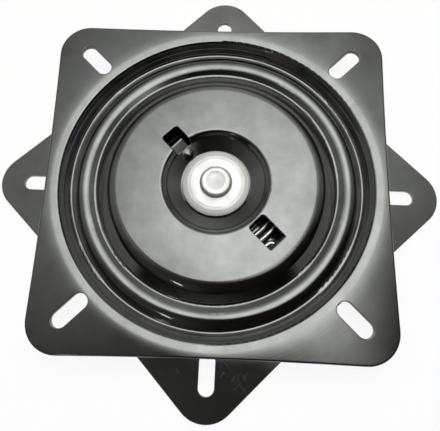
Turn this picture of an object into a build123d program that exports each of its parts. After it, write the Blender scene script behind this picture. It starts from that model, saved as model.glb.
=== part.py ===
from build123d import *
import math
import os

# Self-centring swivel plate for a chair or stool.
# Two equal steel pressings lie back to back, roll on a ring of balls and are held by one rivet.
# Millimetres, +Z up. The origin is the centre of the base plate's underside.
# The base plate's diagonals lie along X and Y.

# The pressing, seen from its outer side, with depths counted down from the flange's outer face
sheet = 2.5                 # sheet thickness
flange_width = 2.885        # from the lip's bend to the middle of a side, at its narrowest
side_bow = 1.6              # how far drawing the metal pulls the middle of each side in
corner_radius = 18.0
edge_roll = 1.0             # rounding that blanking leaves on the outer edge
slot_land = 0.465           # between the lip's bend and a slot
slot_width = 9.0            # clears an 8 mm screw
slot_length = 23.0
slot_roll = 0.4             # rounding of the slots' outer edge
lip_slope = 10.0            # lip that the flange dips to before the rim, in degrees
lip_width = 4.3
rim_slope = 54.0            # wall from the lip down to the race
race_slope = 26.0           # flanks of the raised ball race
dome_slope = 34.0           # wall from the race up to the central dome
dome_drop = 1.6             # depth of the dome's top
dish_radius = 31.3          # mouth of the central dish
dish_wall_slope = 45.0
dish_wall_drop = 2.59       # height of the steep wall inside the mouth
floor_radius = 20.3         # flat floor of the dish
lip_bend = 3.5              # inside bend radii of the sheet
rim_bend = 0.3
valley_bend = 2.0
race_bend = 5.5
shoulder_bend = 9.5
mouth_bend = 0.5
dish_bend = 3.0

# The stack and its play
overall_height = 22.2       # outer face to outer face
turn_at_rest = 1.0          # the top plate's turn from square, at rest, in degrees
base_turn = 45.0            # the base plate's turn, which puts its diagonals on X and Y
ball_diameter = 6.35
ball_count = 24
race_radius = 77.8          # circle on which the balls run
race_play = 0.2             # between a ball and each race
valley_gap = 2.2            # between the two plates, beside the race
cage_sheet = 1.0
cage_width = 11.6
pocket_play = 0.25          # between a ball and its pocket
thrust_play = 0.3           # between the turning plate and what holds it down
pivot_play = 0.08           # round the rivet, in the plates

# The rivet, its cap washer and the spacer ring
shank_radius = 8.0
head_lip = 5.0              # how far the head under the base plate stands out from the shank
head_height = 4.0
head_round = 1.5
formed_lip = 1.4            # how far the end formed over the cap washer stands out from the shank
formed_height = 2.9
formed_round = 2.0
recess_wall = 2.05          # from the shank's surface in to the hollow in the formed end
recess_depth = 0.5
recess_step = 0.65          # ledge between the hollow and the drilled point
drill_depth = 0.35          # straight part of the drilled point
drill_point = 80.0          # half of the drill point's angle, in degrees
washer_fit = 0.05           # round the rivet, in the cap washer and the spacer ring
cap_clear = 0.45            # from the cap washer out to the edge of the dish's floor
cap_thickness = 2.3
cap_turn = 7.0             # width of the cap washer's turned-down edge
cap_rim = 1.0               # height of its straight outer edge
spacer_thickness = 1.9
spacer_clear = 1.8          # from the spacer ring out to the edge of the dish's floor

# The lanced tongues that anchor the return spring, and their windows
inner_bearing = 136.2       # direction of the inner tongue from the axis, in degrees
inner_window_lag = 2.4      # how far clockwise of that tongue its window lies, in degrees
outer_bearing = -45.0
window_width = 12.0
window_corner = 2.0
root_land = 7.4             # from the dish's floor to the inner tongue's root
inner_slope = 18.5
inner_reach = 2.5           # from the dish's mouth to the outer face of the inner tongue's leg
inner_opening = 7.8         # from that leg to the end of its window
inner_width = 8.5
tip_flat = 0.9              # level tip above the leg
dart_ball = 7.5             # radius of the round dart that stiffens the dish before the tongue's root
dart_height = 0.95
dart_land = 3.8             # from the dart's middle to the root
outer_land = 1.3            # from the dish's mouth to the second window
leg_lip = 2.0               # how far a leg goes on past the middle of the wire

# The return spring, wound outwards and up from the base plate's inner tongue to the top plate's outer one
wire = 3.5
inner_play = 1.4            # between the coil and the leg inside it
outer_play = 0.4            # between the coil and the leg outside it
notch_play = 0.5            # round the wire in a leg's notch
coil_gap = 1.05             # between neighbouring turns, across the spring
inner_wire_drop = 2.5       # depth of the spring's inner end below the middle of the stack
outer_wire_rise = 1.1       # height of its outer end above the middle
whole_turns = 2             # full turns before the last part turn
wire_bend = 3.0             # bend of the wire's ends
hook_length = 3.2           # straight end beyond each bend


def tan(degrees):
    return math.tan(math.radians(degrees))


def cos(degrees):
    return math.cos(math.radians(degrees))


def corner_drop(slope_a, slope_b, bend):
    """Height from a rounded valley's lowest point down to its unrounded corner."""
    return bend * (cos((slope_a - slope_b) / 2) / cos((slope_a + slope_b) / 2) - 1)


def sheet_face(corners, inside_bends):
    """Section of bent sheet, with its outer face along the corners and its thickness to the left."""
    points = [Vector(*corner) for corner in corners]
    runs = [(b - a).normalized() for a, b in zip(points, points[1:])]
    lefts = [Vector(-run.Y, run.X) for run in runs]
    turns = [a.X * b.Y - a.Y * b.X for a, b in zip(runs, runs[1:])]
    far_points = [points[0] + lefts[0] * sheet]
    for point, a, b in zip(points[1:], lefts, lefts[1:]):
        far_points.append(point + (a + b) * (sheet / (1 + a.dot(b))))
    far_points.append(points[-1] + lefts[-1] * sheet)
    near_bends = [bend + sheet if turn > 0 else bend for bend, turn in zip(inside_bends, turns)]
    far_bends = [bend if turn > 0 else bend + sheet for bend, turn in zip(inside_bends, turns)]
    near_line = FilletPolyline(*points, radius=near_bends)
    far_line = FilletPolyline(*far_points, radius=far_bends)
    ends = [Line(points[0], far_points[0]), Line(points[-1], far_points[-1])]
    return make_face(near_line.edges() + far_line.edges() + ends)


# Heights and radii that follow from the driving dimensions
mid_height = overall_height / 2
pivot_hole = shank_radius + pivot_play
crest_depth = mid_height - sheet - ball_diameter / 2 - race_play
apex_depth = crest_depth - (race_bend + sheet) * (1 / cos(race_slope) - 1)
valley_depth = mid_height - sheet - valley_gap / 2
outer_valley_depth = valley_depth + corner_drop(rim_slope, race_slope, valley_bend)
inner_valley_depth = valley_depth + corner_drop(dome_slope, race_slope, valley_bend)
outer_valley = race_radius + (outer_valley_depth - apex_depth) / tan(race_slope)
inner_valley = race_radius - (inner_valley_depth - apex_depth) / tan(race_slope)
lip_depth = lip_width * tan(lip_slope)
rim_corner = outer_valley + (outer_valley_depth - lip_depth) / tan(rim_slope)
lip_corner = rim_corner + lip_width
lip_start = lip_corner + (lip_bend + sheet) * tan(lip_slope / 2)
half_side = lip_start + flange_width + side_bow
slot_circle = lip_start + slot_land + slot_length / 2
shoulder = inner_valley - (inner_valley_depth - dome_drop) / tan(dome_slope)
dish_depth = mid_height - sheet - (spacer_thickness + thrust_play) / 2
knee_radius = dish_radius - dish_wall_drop / tan(dish_wall_slope)
knee_depth = dome_drop + dish_wall_drop
top_floor = overall_height - dish_depth
cap_underside = top_floor + thrust_play
cap_top = cap_underside + cap_thickness
cap_radius = floor_radius - cap_clear
spacer_radius = floor_radius - spacer_clear

# The tongues and the spring between them
inner_notch_bearing = base_turn - inner_bearing
outer_notch_bearing = outer_bearing + turn_at_rest
coil_turns = whole_turns + (outer_notch_bearing - inner_notch_bearing) % 360 / 360
inner_window_bearing = inner_bearing - inner_window_lag
inner_root = floor_radius + root_land
inner_tip = dish_radius + inner_reach
inner_window_end = inner_tip + inner_opening
inner_coil_radius = inner_tip + inner_play + wire / 2
outer_coil_radius = inner_coil_radius + coil_turns * (wire + coil_gap)
outer_tip = outer_coil_radius + wire / 2 + outer_play
outer_window_start = dish_radius + outer_land
outer_bend_start = outer_tip + mouth_bend + sheet
inner_wire_depth = mid_height - inner_wire_drop
outer_wire_depth = mid_height - outer_wire_rise
inner_leg_depth = inner_wire_depth + leg_lip
outer_leg_depth = outer_wire_depth + leg_lip


def cone_depth(radius):
    """Depth of the dish's cone at a radius."""
    share = (radius - floor_radius) / (knee_radius - floor_radius)
    return dish_depth - (dish_depth - knee_depth) * share


def inner_tongue():
    """Tongue lanced from the dish, rising outwards to a level tip and a notched leg bent down from it."""
    buried = inner_root - sheet
    leg_back = inner_tip - sheet
    tip_start = inner_tip - tip_flat
    root_depth = cone_depth(inner_root)
    tip_depth = root_depth - (tip_start - inner_root) * tan(inner_slope)
    back_depth = root_depth - (leg_back - inner_root) * tan(inner_slope)
    thickness = sheet / cos(inner_slope)
    outline = Polyline(
        (inner_tip, -inner_leg_depth),
        (inner_tip, -tip_depth),
        (tip_start, -tip_depth),
        (inner_root, -root_depth),
        (buried, -cone_depth(buried)),
        (buried, -cone_depth(buried) - sheet),
        (inner_root, -root_depth - thickness),
        (leg_back, -back_depth - thickness),
        (leg_back, -inner_leg_depth),
        close=True,
    )
    tongue = extrude(Plane.XZ * make_face(outline), amount=inner_width / 2, both=True)
    return tongue - notch(leg_back, inner_tip, inner_wire_depth, inner_leg_depth)


def root_dart():
    """Ball-shaped dart pressed up from the dish's cone, with its lower part inside the sheet."""
    lean = math.degrees(math.atan2(dish_depth - knee_depth, knee_radius - floor_radius))
    middle = inner_root - dart_land
    root_depth = sheet / 2
    ball = Pos(0, 0, dart_height - dart_ball) * Sphere(dart_ball)
    slab = Box(2 * dart_ball, 2 * dart_ball, dart_height + root_depth)
    slab = Pos(0, 0, (dart_height - root_depth) / 2) * slab
    return Pos(middle, 0, -cone_depth(middle)) * Rot(0, -lean, 0) * (ball & slab)


def outer_tongue():
    """Tongue bent down from the far end of the second window, with a notched leg."""
    corners = [
        (outer_bend_start + sheet, -dome_drop),
        (outer_tip, -dome_drop),
        (outer_tip, -outer_leg_depth),
    ]
    section = sheet_face(corners, [mouth_bend])
    tongue = extrude(Plane.XZ * section, amount=window_width / 2, both=True)
    return tongue - notch(outer_tip, outer_tip + sheet, outer_wire_depth, outer_leg_depth)


def notch(inner_face, outer_face, depth, leg_depth):
    """Round-ended notch through a leg, open at the leg's end."""
    radius = wire / 2 + notch_play
    middle = (inner_face + outer_face) / 2
    length = outer_face - inner_face + sheet
    round_end = Pos(middle, 0, -depth) * Rot(0, 90, 0) * Cylinder(radius, length)
    mouth_height = leg_depth - depth + sheet
    mouth = Pos(middle, 0, -depth - mouth_height / 2) * Box(length, 2 * radius, mouth_height)
    return round_end + mouth


def window(start, end, bearing):
    """Cutter for a window with rounded corners, from one radius to another."""
    outline = RectangleRounded(end - start, window_width, window_corner)
    placed = Rot(0, 0, bearing) * Pos((start + end) / 2, 0, 0) * outline
    return extrude(placed, amount=overall_height, both=True)


def pressed_plate():
    """One pressing with its outer face up: flange, ball race, dome, dish, slots and tongues."""
    corners = [
        (half_side * math.sqrt(2), 0),
        (lip_corner, 0),
        (rim_corner, -lip_depth),
        (outer_valley, -outer_valley_depth),
        (race_radius, -apex_depth),
        (inner_valley, -inner_valley_depth),
        (shoulder, -dome_drop),
        (dish_radius, -dome_drop),
        (knee_radius, -knee_depth),
        (floor_radius, -dish_depth),
        (pivot_hole, -dish_depth),
    ]
    bends = [
        lip_bend,
        rim_bend,
        valley_bend,
        race_bend,
        valley_bend,
        shoulder_bend,
        mouth_bend,
        dish_bend,
        dish_bend,
    ]
    disc = revolve(Plane.XZ * sheet_face(corners, bends), Axis.Z)

    side = ThreePointArc((half_side, -half_side), (half_side - side_bow, 0), (half_side, half_side))
    outline = make_face([Rot(0, 0, 90 * k) * side for k in range(4)])
    outline = fillet(outline.vertices(), corner_radius)
    plate = disc & extrude(outline, amount=overall_height, both=True)

    slot = SlotOverall(slot_length, slot_width)
    for k in range(4):
        placed = Rot(0, 0, 45 + 90 * k) * Pos(slot_circle, 0, 0) * slot
        plate -= extrude(placed, amount=overall_height, both=True)

    flange = plate.faces().filter_by(GeomType.PLANE).sort_by(Axis.Z)[-1]
    plate = fillet(flange.outer_wire().edges(), edge_roll)
    flange = plate.faces().filter_by(GeomType.PLANE).sort_by(Axis.Z)[-1]
    slot_edges = [w.edges() for w in flange.inner_wires() if len(w.edges()) > 2]
    plate = fillet([edge for edges in slot_edges for edge in edges], slot_roll)

    plate += Rot(0, 0, inner_window_bearing) * root_dart()
    plate -= window(inner_root, inner_window_end, inner_window_bearing)
    plate -= window(outer_window_start, outer_bend_start, outer_bearing)
    plate += Rot(0, 0, inner_bearing) * inner_tongue()
    plate += Rot(0, 0, outer_bearing) * outer_tongue()
    return plate


def pivot_rivet():
    """Turned rivet: round head below, plain shank, and an end formed over the cap washer."""
    head_top = dish_depth
    head_bottom = head_top - head_height
    head_radius = shank_radius + head_lip
    formed_radius = shank_radius + formed_lip
    formed_top = cap_top + formed_height
    recess_radius = shank_radius - recess_wall
    recess_floor = formed_top - recess_depth
    drill_radius = recess_radius - recess_step
    drill_floor = recess_floor - drill_depth
    outline = Polyline(
        (0, head_bottom),
        (head_radius, head_bottom),
        (head_radius, head_top),
        (shank_radius, head_top),
        (shank_radius, cap_top),
        (formed_radius, cap_top),
        (formed_radius, formed_top),
        (recess_radius, formed_top),
        (recess_radius, recess_floor),
        (drill_radius, recess_floor),
        (drill_radius, drill_floor),
        (0, drill_floor - drill_radius / tan(drill_point)),
        close=True,
    )
    section = make_face(outline)
    head_edge = section.vertices().sort_by_distance((head_radius, head_bottom))[0]
    section = fillet(head_edge, head_round)
    formed_edge = section.vertices().sort_by_distance((formed_radius, formed_top))[0]
    section = fillet(formed_edge, formed_round)
    return revolve(Plane.XZ * section, Axis.Z)


def cap_washer():
    """Plated washer under the formed end, flat on top and turned down to its rim."""
    bore = shank_radius + washer_fit
    rim_top = cap_underside + cap_rim
    flat_radius = cap_radius - cap_turn
    lines = [
        Polyline((flat_radius, cap_top), (bore, cap_top), (bore, cap_underside)),
        Polyline((bore, cap_underside), (cap_radius, cap_underside), (cap_radius, rim_top)),
        TangentArc((flat_radius, cap_top), (cap_radius, rim_top), tangent=(1, 0)),
    ]
    section = make_face([edge for line in lines for edge in line.edges()])
    return revolve(Plane.XZ * section, Axis.Z)


def spacer_ring():
    """Ring that lies on the base plate's dish and keeps the two dishes apart."""
    bore = Cylinder(shank_radius + washer_fit, spacer_thickness)
    ring = Cylinder(spacer_radius, spacer_thickness) - bore
    return Pos(0, 0, dish_depth + sheet + spacer_thickness / 2) * ring


def ball_places():
    """Places of the balls round the race, at half the stack's height."""
    return [Rot(0, 0, 360 * k / ball_count) * Pos(race_radius, 0, mid_height) for k in range(ball_count)]


def ball_cage():
    """Flat ring with a pocket for each ball."""
    outer = race_radius + cage_width / 2
    inner = race_radius - cage_width / 2
    cage = Pos(0, 0, mid_height) * (Cylinder(outer, cage_sheet) - Cylinder(inner, cage_sheet))
    pocket = Cylinder(ball_diameter / 2 + pocket_play, sheet)
    return cage - [place * pocket for place in ball_places()]


def wire_end(point, along, aim, length):
    """A bend from one direction to another at the end of the wire, with a straight hook after it."""
    tilt = along.get_angle(aim)
    side = (aim - along * along.dot(aim)).normalized()
    start = Plane(origin=point, z_dir=along) * Circle(wire / 2)
    axis = Axis(point + side * wire_bend, along.cross(aim))
    bend = revolve(start, axis, tilt)
    reach = along * math.sin(math.radians(tilt)) + side * (1 - cos(tilt))
    hook_start = point + reach * wire_bend
    hook = extrude(Plane(origin=hook_start, z_dir=aim) * Circle(wire / 2), amount=length)
    return bend + hook


def return_spring():
    """Round wire wound in a shallow cone, with both ends bent into the tongues' notches."""
    start_lead = math.degrees(math.asin(wire_bend / (inner_coil_radius - wire_bend)))
    end_lead = math.degrees(math.asin(wire_bend / (outer_coil_radius + wire_bend)))
    turns = coil_turns - (start_lead + end_lead) / 360
    rise = inner_wire_drop + outer_wire_rise
    spread = outer_coil_radius - inner_coil_radius
    coil = Edge.make_helix(
        pitch=math.hypot(rise, spread) / turns,
        height=rise,
        radius=inner_coil_radius,
        center=(0, 0, inner_wire_depth),
        angle=math.degrees(math.atan2(spread, rise)),
    )
    first_bearing = math.degrees(math.atan2((coil @ 0).Y, (coil @ 0).X))
    coil = Rot(0, 0, inner_notch_bearing + start_lead - first_bearing) * coil
    section = Plane(origin=coil @ 0, z_dir=coil % 0) * Circle(wire / 2)
    spring = sweep(section, path=coil, is_frenet=True)
    inwards = Vector(-1, 0, 0).rotate(Axis.Z, inner_notch_bearing)
    outwards = Vector(1, 0, 0).rotate(Axis.Z, outer_notch_bearing)
    spring += wire_end(coil @ 0, -(coil % 0), inwards, hook_length)
    spring += wire_end(coil @ 1, coil % 1, outwards, hook_length)
    return spring


pressing = pressed_plate()
nodes = {
    "base_plate": Rot(0, 0, base_turn) * Rot(180, 0, 0) * pressing,
    "spacer_ring": spacer_ring(),
    "ball_cage": ball_cage(),
    "return_spring": return_spring(),
    "top_plate": Pos(0, 0, overall_height) * Rot(0, 0, turn_at_rest) * pressing,
    "cap_washer": cap_washer(),
    "pivot_rivet": pivot_rivet(),
}
ball = Sphere(ball_diameter / 2)
for number, place in enumerate(ball_places(), start=1):
    nodes[f"ball_{number:02d}"] = place * ball

os.makedirs("parts", exist_ok=True)
for name, solid in nodes.items():
    export_step(solid, f"parts/{name}.step")
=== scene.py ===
import math

import bpy
from mathutils import Matrix, Vector

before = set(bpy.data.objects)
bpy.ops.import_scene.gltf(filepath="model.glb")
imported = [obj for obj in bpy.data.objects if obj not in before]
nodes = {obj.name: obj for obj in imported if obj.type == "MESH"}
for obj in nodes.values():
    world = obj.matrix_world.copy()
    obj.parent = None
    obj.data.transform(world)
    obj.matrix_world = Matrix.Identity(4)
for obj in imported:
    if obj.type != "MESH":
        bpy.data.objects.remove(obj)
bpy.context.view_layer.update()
scene = bpy.context.scene


# Base plate: a square steel pressing with its outer face down, blanked, drawn and lanced in a press tool.
# It has a thin gloss black coating, and lies on the floor on its flange.
def node(tree, kind, values=None, **settings):
    made = tree.nodes.new(kind)
    for key, value in settings.items():
        setattr(made, key, value)
    for key, value in (values or {}).items():
        made.inputs[key].default_value = value
    return made


def new_material(name, **sockets):
    material = bpy.data.materials.new(name)
    material.use_nodes = True
    tree = material.node_tree
    shader = tree.nodes["Principled BSDF"]
    for key, value in sockets.items():
        shader.inputs[key.replace("_", " ")].default_value = value
    return material, tree, shader


def wear(material, *names):
    for name in names:
        piece = nodes[name]
        piece.data.materials.clear()
        piece.data.materials.append(material)


def new_group(name, inputs, outputs):
    group = bpy.data.node_groups.new(name, "ShaderNodeTree")
    for key, value in inputs.items():
        socket = group.interface.new_socket(key, in_out="INPUT", socket_type="NodeSocketFloat")
        socket.default_value = value
    for key in outputs:
        group.interface.new_socket(key, in_out="OUTPUT", socket_type="NodeSocketFloat")
    return group, node(group, "NodeGroupInput"), node(group, "NodeGroupOutput")


# Fine handling scratches: short thin streaks in two directions, in patches.
scratch_group, given, result = new_group("fine_scratches", {"Amount": 0.5}, ["Mask"])
link = scratch_group.links.new
place = node(scratch_group, "ShaderNodeTexCoord")
patch = node(scratch_group, "ShaderNodeTexNoise", {"Scale": 40.0, "Detail": 2.0})
where = node(scratch_group, "ShaderNodeMapRange", {"From Min": 0.5, "From Max": 0.65})
link(place.outputs["Object"], patch.inputs["Vector"])
link(patch.outputs["Fac"], where.inputs["Value"])
streaks = node(scratch_group, "ShaderNodeMath", operation="MAXIMUM")
streak_size = (1 / 110, 1 / 3200, 1 / 110)
streak_turns = (0.9, 2.3)
for slot, turn in enumerate(streak_turns):
    lay = node(scratch_group, "ShaderNodeMapping", {"Rotation": (0, 0, turn), "Scale": streak_size},
               vector_type="TEXTURE")
    streak = node(scratch_group, "ShaderNodeTexNoise", {"Scale": 1.0, "Detail": 1.0})
    thin = node(scratch_group, "ShaderNodeMapRange", {"From Min": 0.66, "From Max": 0.74})
    link(place.outputs["Object"], lay.inputs["Vector"])
    link(lay.outputs["Vector"], streak.inputs["Vector"])
    link(streak.outputs["Fac"], thin.inputs["Value"])
    link(thin.outputs["Result"], streaks.inputs[slot])
kept = node(scratch_group, "ShaderNodeMath", operation="MULTIPLY")
scaled = node(scratch_group, "ShaderNodeMath", operation="MULTIPLY")
link(streaks.outputs[0], kept.inputs[0])
link(where.outputs["Result"], kept.inputs[1])
link(kept.outputs[0], scaled.inputs[0])
link(given.outputs["Amount"], scaled.inputs[1])
link(scaled.outputs[0], result.inputs["Mask"])

# Uneven film of oil and handling: soft clouds, some of them large.
film_group, given, result = new_group("handling_film", {"Scale": 26.0, "Low": 0.0, "High": 1.0}, ["Level"])
link = film_group.links.new
place = node(film_group, "ShaderNodeTexCoord")
cloud = node(film_group, "ShaderNodeTexNoise", {"Detail": 5.0, "Roughness": 0.6})
spread = node(film_group, "ShaderNodeMapRange", {"From Min": 0.3, "From Max": 0.7})
link(place.outputs["Object"], cloud.inputs["Vector"])
link(given.outputs["Scale"], cloud.inputs["Scale"])
link(cloud.outputs["Fac"], spread.inputs["Value"])
link(given.outputs["Low"], spread.inputs["To Min"])
link(given.outputs["High"], spread.inputs["To Max"])
link(spread.outputs["Result"], result.inputs["Level"])

# Marks that run round the axis, as drawing and turning leave them, and the distance from the axis.
ring_group, given, result = new_group("ring_marks", {"Scale": 1000.0, "Detail": 2.0}, ["Radius", "Marks"])
link = ring_group.links.new
place = node(ring_group, "ShaderNodeTexCoord")
flat = node(ring_group, "ShaderNodeVectorMath", {1: (1, 1, 0)}, operation="MULTIPLY")
radius = node(ring_group, "ShaderNodeVectorMath", operation="LENGTH")
marks = node(ring_group, "ShaderNodeTexNoise", {"Roughness": 0.6}, noise_dimensions="1D")
link(place.outputs["Object"], flat.inputs[0])
link(flat.outputs["Vector"], radius.inputs[0])
link(radius.outputs["Value"], marks.inputs["W"])
link(given.outputs["Scale"], marks.inputs["Scale"])
link(given.outputs["Detail"], marks.inputs["Detail"])
link(radius.outputs["Value"], result.inputs["Radius"])
link(marks.outputs["Fac"], result.inputs["Marks"])

black_coat, tree, shader = new_material("black_coat", IOR=1.69, Coat_Roughness=0.12)
link = tree.links.new
place = node(tree, "ShaderNodeTexCoord")
rings = node(tree, "ShaderNodeGroup", {"Scale": 1300, "Detail": 2.0}, node_tree=ring_group)
radius = rings.outputs["Radius"]

# Drawing pulls the flange down in a soft curve round the lip.
bend_start, pull_start, pull_end = 0.09447, 0.09552, 0.1075
pull_slope = math.tan(math.radians(5))
bend = node(tree, "ShaderNodeMapRange", {"From Min": bend_start, "From Max": pull_start})
bend_curve = node(tree, "ShaderNodeMath", {1: 2.0}, operation="POWER")
bend_rise = (pull_start - bend_start) * pull_slope / 2
bend_height = node(tree, "ShaderNodeMath", {1: bend_rise}, operation="MULTIPLY")
pull = node(tree, "ShaderNodeMapRange",
            {"From Min": pull_start, "From Max": pull_end, "To Min": 1, "To Max": 0})
pull_curve = node(tree, "ShaderNodeMath", {1: 4.0}, operation="POWER")
pull_rise = (pull_start - pull_end) * pull_slope / 4
pull_height = node(tree, "ShaderNodeMath", {1: pull_rise}, operation="MULTIPLY_ADD")
pull_bump = node(tree, "ShaderNodeBump", {"Distance": 1.0})
link(radius, bend.inputs["Value"])
link(radius, pull.inputs["Value"])
link(bend.outputs["Result"], bend_curve.inputs[0])
link(bend_curve.outputs[0], bend_height.inputs[0])
link(pull.outputs["Result"], pull_curve.inputs[0])
link(pull_curve.outputs[0], pull_height.inputs[0])
link(bend_height.outputs[0], pull_height.inputs[2])
link(pull_height.outputs[0], pull_bump.inputs["Height"])

# The drawn wall under the lip is steep at its foot and rolls over at its top.
wall_foot, wall_roll, wall_top = 0.0866, 0.0884, 0.0899
wall_rise = 0.00043
foot = node(tree, "ShaderNodeMapRange", {"From Min": wall_foot, "From Max": wall_roll})
roll = node(tree, "ShaderNodeMapRange",
            {"From Min": wall_roll, "From Max": wall_top, "To Min": 1, "To Max": 0})
wall = node(tree, "ShaderNodeMath", {2: 0.4}, operation="SMOOTH_MIN")
wall_bump = node(tree, "ShaderNodeBump", {"Distance": wall_rise})
link(radius, foot.inputs["Value"])
link(radius, roll.inputs["Value"])
link(foot.outputs["Result"], wall.inputs[0])
link(roll.outputs["Result"], wall.inputs[1])
link(wall.outputs[0], wall_bump.inputs["Height"])

# The inner tongue looks steeper in the photograph than its CAD slope, so its shading is tilted by a bump.
tongue_root, tongue_tip, tongue_half = 0.0277, 0.0329, 0.0052
top_bearing, base_bearing = math.radians(137.2), math.radians(-91.2)
tongue_lift = (tongue_tip - tongue_root) * math.tan(math.radians(4.2))
tongue_turn = node(tree, "ShaderNodeMapping", {"Rotation": (0, 0, -top_bearing)}, name="tongue_turn")
tongue_split = node(tree, "ShaderNodeSeparateXYZ")
tongue_rise = node(tree, "ShaderNodeMapRange", {"From Min": tongue_root, "From Max": tongue_tip})
tongue_side = node(tree, "ShaderNodeMath", operation="ABSOLUTE")
on_tongue = node(tree, "ShaderNodeMath", {1: tongue_half}, operation="LESS_THAN")
tongue_height = node(tree, "ShaderNodeMath", operation="MULTIPLY")
tongue_bump = node(tree, "ShaderNodeBump", {"Distance": tongue_lift})
link(place.outputs["Object"], tongue_turn.inputs["Vector"])
link(tongue_turn.outputs["Vector"], tongue_split.inputs["Vector"])
link(tongue_split.outputs["X"], tongue_rise.inputs["Value"])
link(tongue_split.outputs["Y"], tongue_side.inputs[0])
link(tongue_side.outputs[0], on_tongue.inputs[0])
link(tongue_rise.outputs["Result"], tongue_height.inputs[0])
link(on_tongue.outputs[0], tongue_height.inputs[1])
link(tongue_height.outputs[0], tongue_bump.inputs["Height"])

# The die leaves faint rings on the drawn walls and on the lip.
dome_edge, drawn_edge = 0.060, 0.066
drawn = node(tree, "ShaderNodeMapRange", {"From Min": dome_edge, "From Max": drawn_edge})
drawn_rings = node(tree, "ShaderNodeMath", operation="MULTIPLY")
ring_bump = node(tree, "ShaderNodeBump", {"Strength": 0.12, "Distance": 0.0001})
link(radius, drawn.inputs["Value"])
link(rings.outputs["Marks"], drawn_rings.inputs[0])
link(drawn.outputs["Result"], drawn_rings.inputs[1])
link(drawn_rings.outputs[0], ring_bump.inputs["Height"])

# Blanking rounds the edges, pressing leaves the sheet faintly wavy, and the coating has a fine orange peel.
edge_round = 0.0006
edge = node(tree, "ShaderNodeBevel", {"Radius": edge_round}, samples=8)
wave = node(tree, "ShaderNodeTexNoise", {"Scale": 30, "Detail": 1.0, "Roughness": 0.4})
peel = node(tree, "ShaderNodeTexNoise", {"Scale": 900, "Detail": 2.0, "Roughness": 0.5})
wave_bump = node(tree, "ShaderNodeBump", {"Strength": 0.2, "Distance": 0.001})
peel_bump = node(tree, "ShaderNodeBump", {"Strength": 0.06, "Distance": 0.0001})
link(place.outputs["Object"], wave.inputs["Vector"])
link(place.outputs["Object"], peel.inputs["Vector"])
link(wave.outputs["Fac"], wave_bump.inputs["Height"])
link(peel.outputs["Fac"], peel_bump.inputs["Height"])
link(edge.outputs["Normal"], pull_bump.inputs["Normal"])
link(pull_bump.outputs["Normal"], wall_bump.inputs["Normal"])
link(wall_bump.outputs["Normal"], tongue_bump.inputs["Normal"])
link(tongue_bump.outputs["Normal"], ring_bump.inputs["Normal"])
link(ring_bump.outputs["Normal"], wave_bump.inputs["Normal"])
link(wave_bump.outputs["Normal"], peel_bump.inputs["Normal"])
link(peel_bump.outputs["Normal"], shader.inputs["Normal"])

# Handling leaves a thin uneven film and fine scratches on the gloss.
film = node(tree, "ShaderNodeGroup", {"Scale": 60, "Low": 0.06, "High": 0.11}, node_tree=film_group)
scratches = node(tree, "ShaderNodeGroup", {"Amount": 0.12}, node_tree=scratch_group, name="scratches")
gloss = node(tree, "ShaderNodeMath", operation="ADD")
haze = node(tree, "ShaderNodeGroup", {"Scale": 70, "Low": 0.0, "High": 0.6}, node_tree=film_group)
coat_black = (0.0035, 0.0033, 0.0027, 1)
dull_black = (0.018, 0.0175, 0.0155, 1)
scratched_black = (0.04, 0.04, 0.036, 1)
tone = node(tree, "ShaderNodeMix", {"A": coat_black, "B": scratched_black}, data_type="RGBA", name="tone")
link(film.outputs["Level"], gloss.inputs[0])
link(scratches.outputs["Mask"], gloss.inputs[1])
link(gloss.outputs[0], shader.inputs["Roughness"])
link(haze.outputs["Level"], shader.inputs["Coat Weight"])
link(scratches.outputs["Mask"], tone.inputs["Factor"])
link(tone.outputs["Result"], shader.inputs["Base Color"])

# The base plate's coating is duller, and more scratched from lying on benches.
base_coat = black_coat.copy()
base_coat.name = "base_coat"
base_nodes = base_coat.node_tree.nodes
base_nodes["scratches"].inputs["Amount"].default_value = 0.5
base_nodes["tone"].inputs["A"].default_value = dull_black
base_nodes["tongue_turn"].inputs["Rotation"].default_value = (0, 0, -base_bearing)
wear(base_coat, "base_plate")


# The loaded mesh carries averaged normals, which ripple on long thin faces, so they are weighted by area.
def even_shading(name):
    modifier = nodes[name].modifiers.new("even_shading", "WEIGHTED_NORMAL")
    modifier.mode = "FACE_AREA_WITH_ANGLE"
    modifier.keep_sharp = True


even_shading("base_plate")

# Spacer ring: a flat ring of plain turned steel on the base plate's dish, under the top plate.
# It lies loose round the rivet in a little oil.
steel, tree, shader = new_material("plain_steel", Metallic=1.0)
link = tree.links.new
place = node(tree, "ShaderNodeTexCoord")
grain = node(tree, "ShaderNodeTexNoise", {"Scale": 700, "Detail": 3.0})
grain_bump = node(tree, "ShaderNodeBump", {"Strength": 0.15, "Distance": 0.0001})
oil = node(tree, "ShaderNodeGroup", {"Scale": 90, "Low": 0.22, "High": 0.42}, node_tree=film_group)
clean_steel, oily_steel = (0.42, 0.42, 0.43, 1), (0.30, 0.28, 0.24, 1)
steel_tone = node(tree, "ShaderNodeMix", {"A": clean_steel, "B": oily_steel}, data_type="RGBA")
link(place.outputs["Object"], grain.inputs["Vector"])
link(grain.outputs["Fac"], grain_bump.inputs["Height"])
link(grain_bump.outputs["Normal"], shader.inputs["Normal"])
link(oil.outputs["Level"], shader.inputs["Roughness"])
link(grain.outputs["Fac"], steel_tone.inputs["Factor"])
link(steel_tone.outputs["Result"], shader.inputs["Base Color"])
wear(steel, "spacer_ring")

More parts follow.
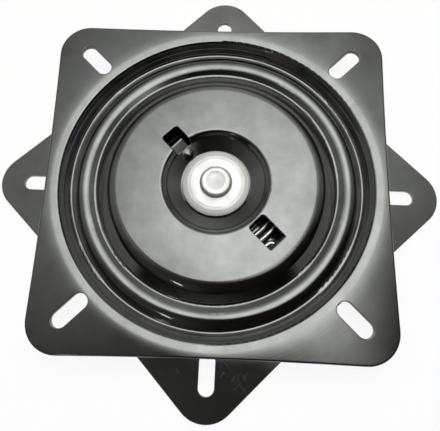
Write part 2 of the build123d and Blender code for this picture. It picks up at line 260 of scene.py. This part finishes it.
# Ball cage and balls: a flat punched ring of plain sheet that keeps 24 hardened, polished balls apart.
# They run greased between the two plates' races, and the ring rides round at half the plate's speed.
wear(steel, "ball_cage")
ball_steel, tree, shader = new_material("ball_steel", Metallic=1.0)
link = tree.links.new
grease = node(tree, "ShaderNodeGroup", {"Scale": 250, "Low": 0.06, "High": 0.25}, node_tree=film_group)
polished_steel, greased_steel = (0.62, 0.62, 0.64, 1), (0.36, 0.33, 0.27, 1)
ball_tone = node(tree, "ShaderNodeMix", {"A": polished_steel, "B": greased_steel}, data_type="RGBA")
link(grease.outputs["Level"], shader.inputs["Roughness"])
link(grease.outputs["Level"], ball_tone.inputs["Factor"])
link(ball_tone.outputs["Result"], shader.inputs["Base Color"])
wear(ball_steel, *[name for name in nodes if name.startswith("ball_") and name != "ball_cage"])

# Return spring: round drawn wire in a flat coil, dark from its heat treatment.
# Its ends are bent into the notched tongues of the two plates. One side of the coil, towards the top plate's
# inner tongue, is painted near black and made rough as painted shade.
wire, tree, shader = new_material("spring_wire", Metallic=1.0)
link = tree.links.new
place = node(tree, "ShaderNodeTexCoord")
die_marks = node(tree, "ShaderNodeTexNoise", {"Scale": 1400, "Detail": 2.0})
die_bump = node(tree, "ShaderNodeBump", {"Strength": 0.1, "Distance": 0.00008})
grease = node(tree, "ShaderNodeGroup", {"Scale": 160, "Low": 0.25, "High": 0.4}, node_tree=film_group)
# The pale and dark wire tones are the wire's own colour; the near-black one is painted shade for one side of
# the coil.
pale_wire, dark_wire, painted_shade_black = (0.36, 0.35, 0.33, 1), (0.22, 0.213, 0.195, 1), (0.012, 0.011, 0.009, 1)
wire_tone = node(tree, "ShaderNodeMix", {"A": pale_wire, "B": dark_wire}, data_type="RGBA")
# Painted shade: towards this bearing, under the top plate's inner tongue, the coil gets a near-black colour
# and a rough finish.
shaded_side_bearing = math.radians(136)
turned = node(tree, "ShaderNodeMapping", {"Rotation": (0, 0, -shaded_side_bearing)})
split = node(tree, "ShaderNodeSeparateXYZ")
shade_reach = 0.02
shaded_side = node(tree, "ShaderNodeMapRange", {"From Min": 0.0, "From Max": shade_reach})
shaded_tone = node(tree, "ShaderNodeMix", {"B": painted_shade_black}, data_type="RGBA")
shaded_side_roughness = 0.55
shaded_gloss = node(tree, "ShaderNodeMix", {"B": shaded_side_roughness})
link(place.outputs["Object"], die_marks.inputs["Vector"])
link(place.outputs["Object"], turned.inputs["Vector"])
link(turned.outputs["Vector"], split.inputs["Vector"])
link(split.outputs["X"], shaded_side.inputs["Value"])
link(die_marks.outputs["Fac"], die_bump.inputs["Height"])
link(die_bump.outputs["Normal"], shader.inputs["Normal"])
link(die_marks.outputs["Fac"], wire_tone.inputs["Factor"])
link(shaded_side.outputs["Result"], shaded_gloss.inputs["Factor"])
link(grease.outputs["Level"], shaded_gloss.inputs["A"])
link(shaded_gloss.outputs["Result"], shader.inputs["Roughness"])
link(shaded_side.outputs["Result"], shaded_tone.inputs["Factor"])
link(wire_tone.outputs["Result"], shaded_tone.inputs["A"])
link(shaded_tone.outputs["Result"], shader.inputs["Base Color"])
wear(wire, "return_spring")

# Top plate: the same pressing as the base plate with the same coating, its outer face up.
# It turns on the rivet and is held down by the cap washer.
wear(black_coat, "top_plate")
even_shading("top_plate")

# Cap washer: turned steel with bright plating, dished at the edge, pressed down by the rivet's formed end.
# Its turning marks run round the axis under the plating, and darker rings along them are painted into its
# colour as shade.
bright, tree, shader = new_material("bright_plate", Metallic=1.0, Coat_Weight=0.3, Coat_Roughness=0.08)
link = tree.links.new
rings = node(tree, "ShaderNodeGroup", {"Scale": 900, "Detail": 3.0}, node_tree=ring_group)
ring_bump = node(tree, "ShaderNodeBump", {"Strength": 0.25, "Distance": 0.0001})
film = node(tree, "ShaderNodeGroup", {"Scale": 120, "Low": 0.48, "High": 0.60}, node_tree=film_group)
# Painted shade: the plating's colour darkens in rings that follow the turning marks.
bright_tone, ring_shade_tone = (0.63, 0.61, 0.62, 1), (0.335, 0.325, 0.33, 1)
plate_tone = node(tree, "ShaderNodeMix", {"A": bright_tone, "B": ring_shade_tone}, data_type="RGBA")
link(rings.outputs["Marks"], ring_bump.inputs["Height"])
link(ring_bump.outputs["Normal"], shader.inputs["Normal"])
link(film.outputs["Level"], shader.inputs["Roughness"])
link(rings.outputs["Marks"], plate_tone.inputs["Factor"])
link(plate_tone.outputs["Result"], shader.inputs["Base Color"])
wear(bright, "cap_washer")

# Pivot rivet: turned steel with the same plating, its head under the base plate.
# Its upper end is spread over the cap washer, round a shallow drilled hollow.
wear(bright, "pivot_rivet")


# Floor: plain and pale. What looks at it straight or in a reflection sees it nearly white,
# with a faint shadow of the object left on it.
def backdrop(name, white_share, **sockets):
    material, tree, shader = new_material(name, **sockets)
    paths = node(tree, "ShaderNodeLightPath")
    straight = node(tree, "ShaderNodeMath", operation="MAXIMUM")
    seen = node(tree, "ShaderNodeMath", operation="MAXIMUM")
    share = node(tree, "ShaderNodeMath", {1: white_share}, operation="MULTIPLY")
    white = node(tree, "ShaderNodeEmission", {"Color": (1, 1, 1, 1), "Strength": 1.0})
    mixed = node(tree, "ShaderNodeMixShader")
    link = tree.links.new
    link(paths.outputs["Is Camera Ray"], straight.inputs[0])
    link(paths.outputs["Is Glossy Ray"], straight.inputs[1])
    link(straight.outputs[0], seen.inputs[0])
    link(paths.outputs["Is Transmission Ray"], seen.inputs[1])
    link(seen.outputs[0], share.inputs[0])
    link(share.outputs[0], mixed.inputs["Fac"])
    link(shader.outputs["BSDF"], mixed.inputs[1])
    link(white.outputs["Emission"], mixed.inputs[2])
    link(mixed.outputs["Shader"], tree.nodes["Material Output"].inputs["Surface"])
    return material


floor_size, floor_drop = 6, 0.0005
bpy.ops.mesh.primitive_plane_add(size=floor_size, location=(0, 0, -floor_drop))
floor = bpy.context.object
floor.name = "floor"
floor.data.materials.append(backdrop("pale_floor", 0.92, Base_Color=(0.9, 0.9, 0.9, 1), Roughness=0.9))


# Studio: a ceiling that glows as a wide softbox, brightest over the object and dark on the camera's side,
# above four pale walls, with one small strip lamp. The camera looks through them at plain white.
# Places on the ceiling are slopes as seen from the object: metres sideways for each metre up.
def smooth_step(tree, value, low, high, start=0.0, end=1.0):
    step = node(tree, "ShaderNodeMapRange",
                {"From Min": low, "From Max": high, "To Min": start, "To Max": end},
                interpolation_type="SMOOTHSTEP")
    tree.links.new(value, step.inputs["Value"])
    return step.outputs["Result"]


def product(tree, *values):
    total = values[0]
    for value in values[1:]:
        made = node(tree, "ShaderNodeMath", operation="MULTIPLY")
        tree.links.new(total, made.inputs[0])
        tree.links.new(value, made.inputs[1])
        total = made.outputs[0]
    return total


def weighted(tree, value, weight, other):
    made = node(tree, "ShaderNodeMath", operation="MULTIPLY_ADD")
    tree.links.new(value, made.inputs[0])
    made.inputs[1].default_value = weight
    tree.links.new(other, made.inputs[2])
    return made.outputs[0]


def stage_panel(name, corners, material):
    mesh = bpy.data.meshes.new(name)
    mesh.from_pydata(corners, [], [(0, 1, 2, 3)])
    mesh.materials.append(material)
    panel = bpy.data.objects.new(name, mesh)
    scene.collection.objects.link(panel)
    panel.visible_camera = False


ceiling_height = 0.82
ceiling_half = 1.7
fade_depth = 0.81
pale_level = 1.5
core_level = 6.2
ceiling_tint = (0.965, 1.0, 0.935, 1)
glow = bpy.data.materials.new("ceiling_glow")
glow.use_nodes = True
tree = glow.node_tree
tree.nodes.clear()
place = node(tree, "ShaderNodeTexCoord")
slope = node(tree, "ShaderNodeVectorMath", {"Scale": 1 / ceiling_height}, operation="SCALE")
flat = node(tree, "ShaderNodeVectorMath", {1: (1, 1, 0)}, operation="MULTIPLY")
oval = node(tree, "ShaderNodeVectorMath", {1: (1, fade_depth, 0)}, operation="MULTIPLY")
reach = node(tree, "ShaderNodeVectorMath", operation="LENGTH")
split = node(tree, "ShaderNodeSeparateXYZ")
tree.links.new(place.outputs["Object"], slope.inputs[0])
tree.links.new(slope.outputs["Vector"], flat.inputs[0])
tree.links.new(flat.outputs["Vector"], oval.inputs[0])
tree.links.new(oval.outputs["Vector"], reach.inputs[0])
tree.links.new(flat.outputs["Vector"], split.inputs["Vector"])
across, along = split.outputs["X"], split.outputs["Y"]
far = smooth_step(tree, reach.outputs["Value"], 0.95, 1.5, 1.0, 0.12)
core = product(
    tree,
    smooth_step(tree, across, -0.50, 0.04),
    smooth_step(tree, across, 0.14, 0.50, 1.0, 0.0),
    smooth_step(tree, weighted(tree, across, 0.4, along), -0.15, 0.10),
    smooth_step(tree, along, 0.08, 0.97, 1.0, 0.12),
    far,
)
pale = product(
    tree,
    smooth_step(tree, across, -0.65, -0.35, 0.45, 1.0),
    smooth_step(tree, across, 0.46, 0.70, 1.1, 0.55),
    smooth_step(tree, weighted(tree, across, -0.15, along), -0.25, 0.45),
    smooth_step(tree, along, 0.34, 1.10, 1.0, 0.43),
    far,
)
dark = product(tree, smooth_step(tree, across, -0.5, 0.1, 0.25, 0.03), far)
strength = weighted(tree, core, core_level, weighted(tree, pale, pale_level, dark))
emission = node(tree, "ShaderNodeEmission", {"Color": ceiling_tint})
output = node(tree, "ShaderNodeOutputMaterial")
tree.links.new(strength, emission.inputs["Strength"])
tree.links.new(emission.outputs["Emission"], output.inputs["Surface"])
corners = [Vector((x, y, 0)) * ceiling_half for x, y in ((-1, -1), (-1, 1), (1, 1), (1, -1))]
top = Vector((0, 0, ceiling_height))
stage_panel("ceiling", [corner + top for corner in corners], glow)

wall_paint = backdrop("wall_paint", 0.6, Base_Color=(0.85, 0.82, 0.76, 1), Roughness=0.9)
for number, start in enumerate(corners):
    end = corners[(number + 1) % 4]
    stage_panel(f"wall_{number + 1}", [start, end, end + top, start + top], wall_paint)

lamp_left, lamp_right, lamp_front, lamp_back, lamp_height = -0.385, -0.355, -0.86, -0.62, 0.81
lamp_level = 14.0
lamp_plan = ((lamp_left, lamp_front), (lamp_left, lamp_back),
             (lamp_right, lamp_back), (lamp_right, lamp_front))
lamp, tree, shader = new_material(
    "strip_lamp", Base_Color=(0, 0, 0, 1), Emission_Color=(1, 1, 0.96, 1), Emission_Strength=lamp_level)
stage_panel("strip_lamp", [Vector((x, y, lamp_height)) for x, y in lamp_plan], lamp)

world = bpy.data.worlds.new("studio")
scene.world = world
world.use_nodes = True
background = world.node_tree.nodes["Background"]
background.inputs["Color"].default_value = (1, 1, 1, 1)
background.inputs["Strength"].default_value = 1.0
scene.view_settings.view_transform = "Standard"

# Camera: at the photograph's place, close above the front edge and looking steeply down.
# Its place, turn and focal length were solved from both plates' outlines and the top plate's rings.
image_width, image_height = 440, 431
focal_px = 468.8
centre_px = Vector((214.4, 214.7))
view_turn = math.radians(7.14)
view_height = math.radians(74.95)
view_roll = math.radians(-4.36)
view_distance = 0.2627
aim = Vector((0.000304, -0.020858, 0.0222))
right = Vector((math.cos(view_turn), math.sin(view_turn), 0))
towards = Vector((math.sin(view_turn), -math.cos(view_turn), 0))
back = towards * math.cos(view_height) + Vector((0, 0, math.sin(view_height)))
up = back.cross(right)
camera_x = right * math.cos(view_roll) + up * math.sin(view_roll)
camera_y = up * math.cos(view_roll) - right * math.sin(view_roll)
camera_data = bpy.data.cameras.new("camera")
camera = bpy.data.objects.new("camera", camera_data)
scene.collection.objects.link(camera)
turned = Matrix((camera_x, camera_y, back)).transposed().to_4x4()
camera.matrix_world = Matrix.Translation(aim + back * view_distance) @ turned
camera_data.sensor_width = 36
camera_data.lens = focal_px * camera_data.sensor_width / image_width
camera_data.shift_x = (image_width / 2 - centre_px.x) / image_width
camera_data.shift_y = (centre_px.y - image_height / 2) / image_width
camera_data.clip_start = 0.01
scene.camera = camera
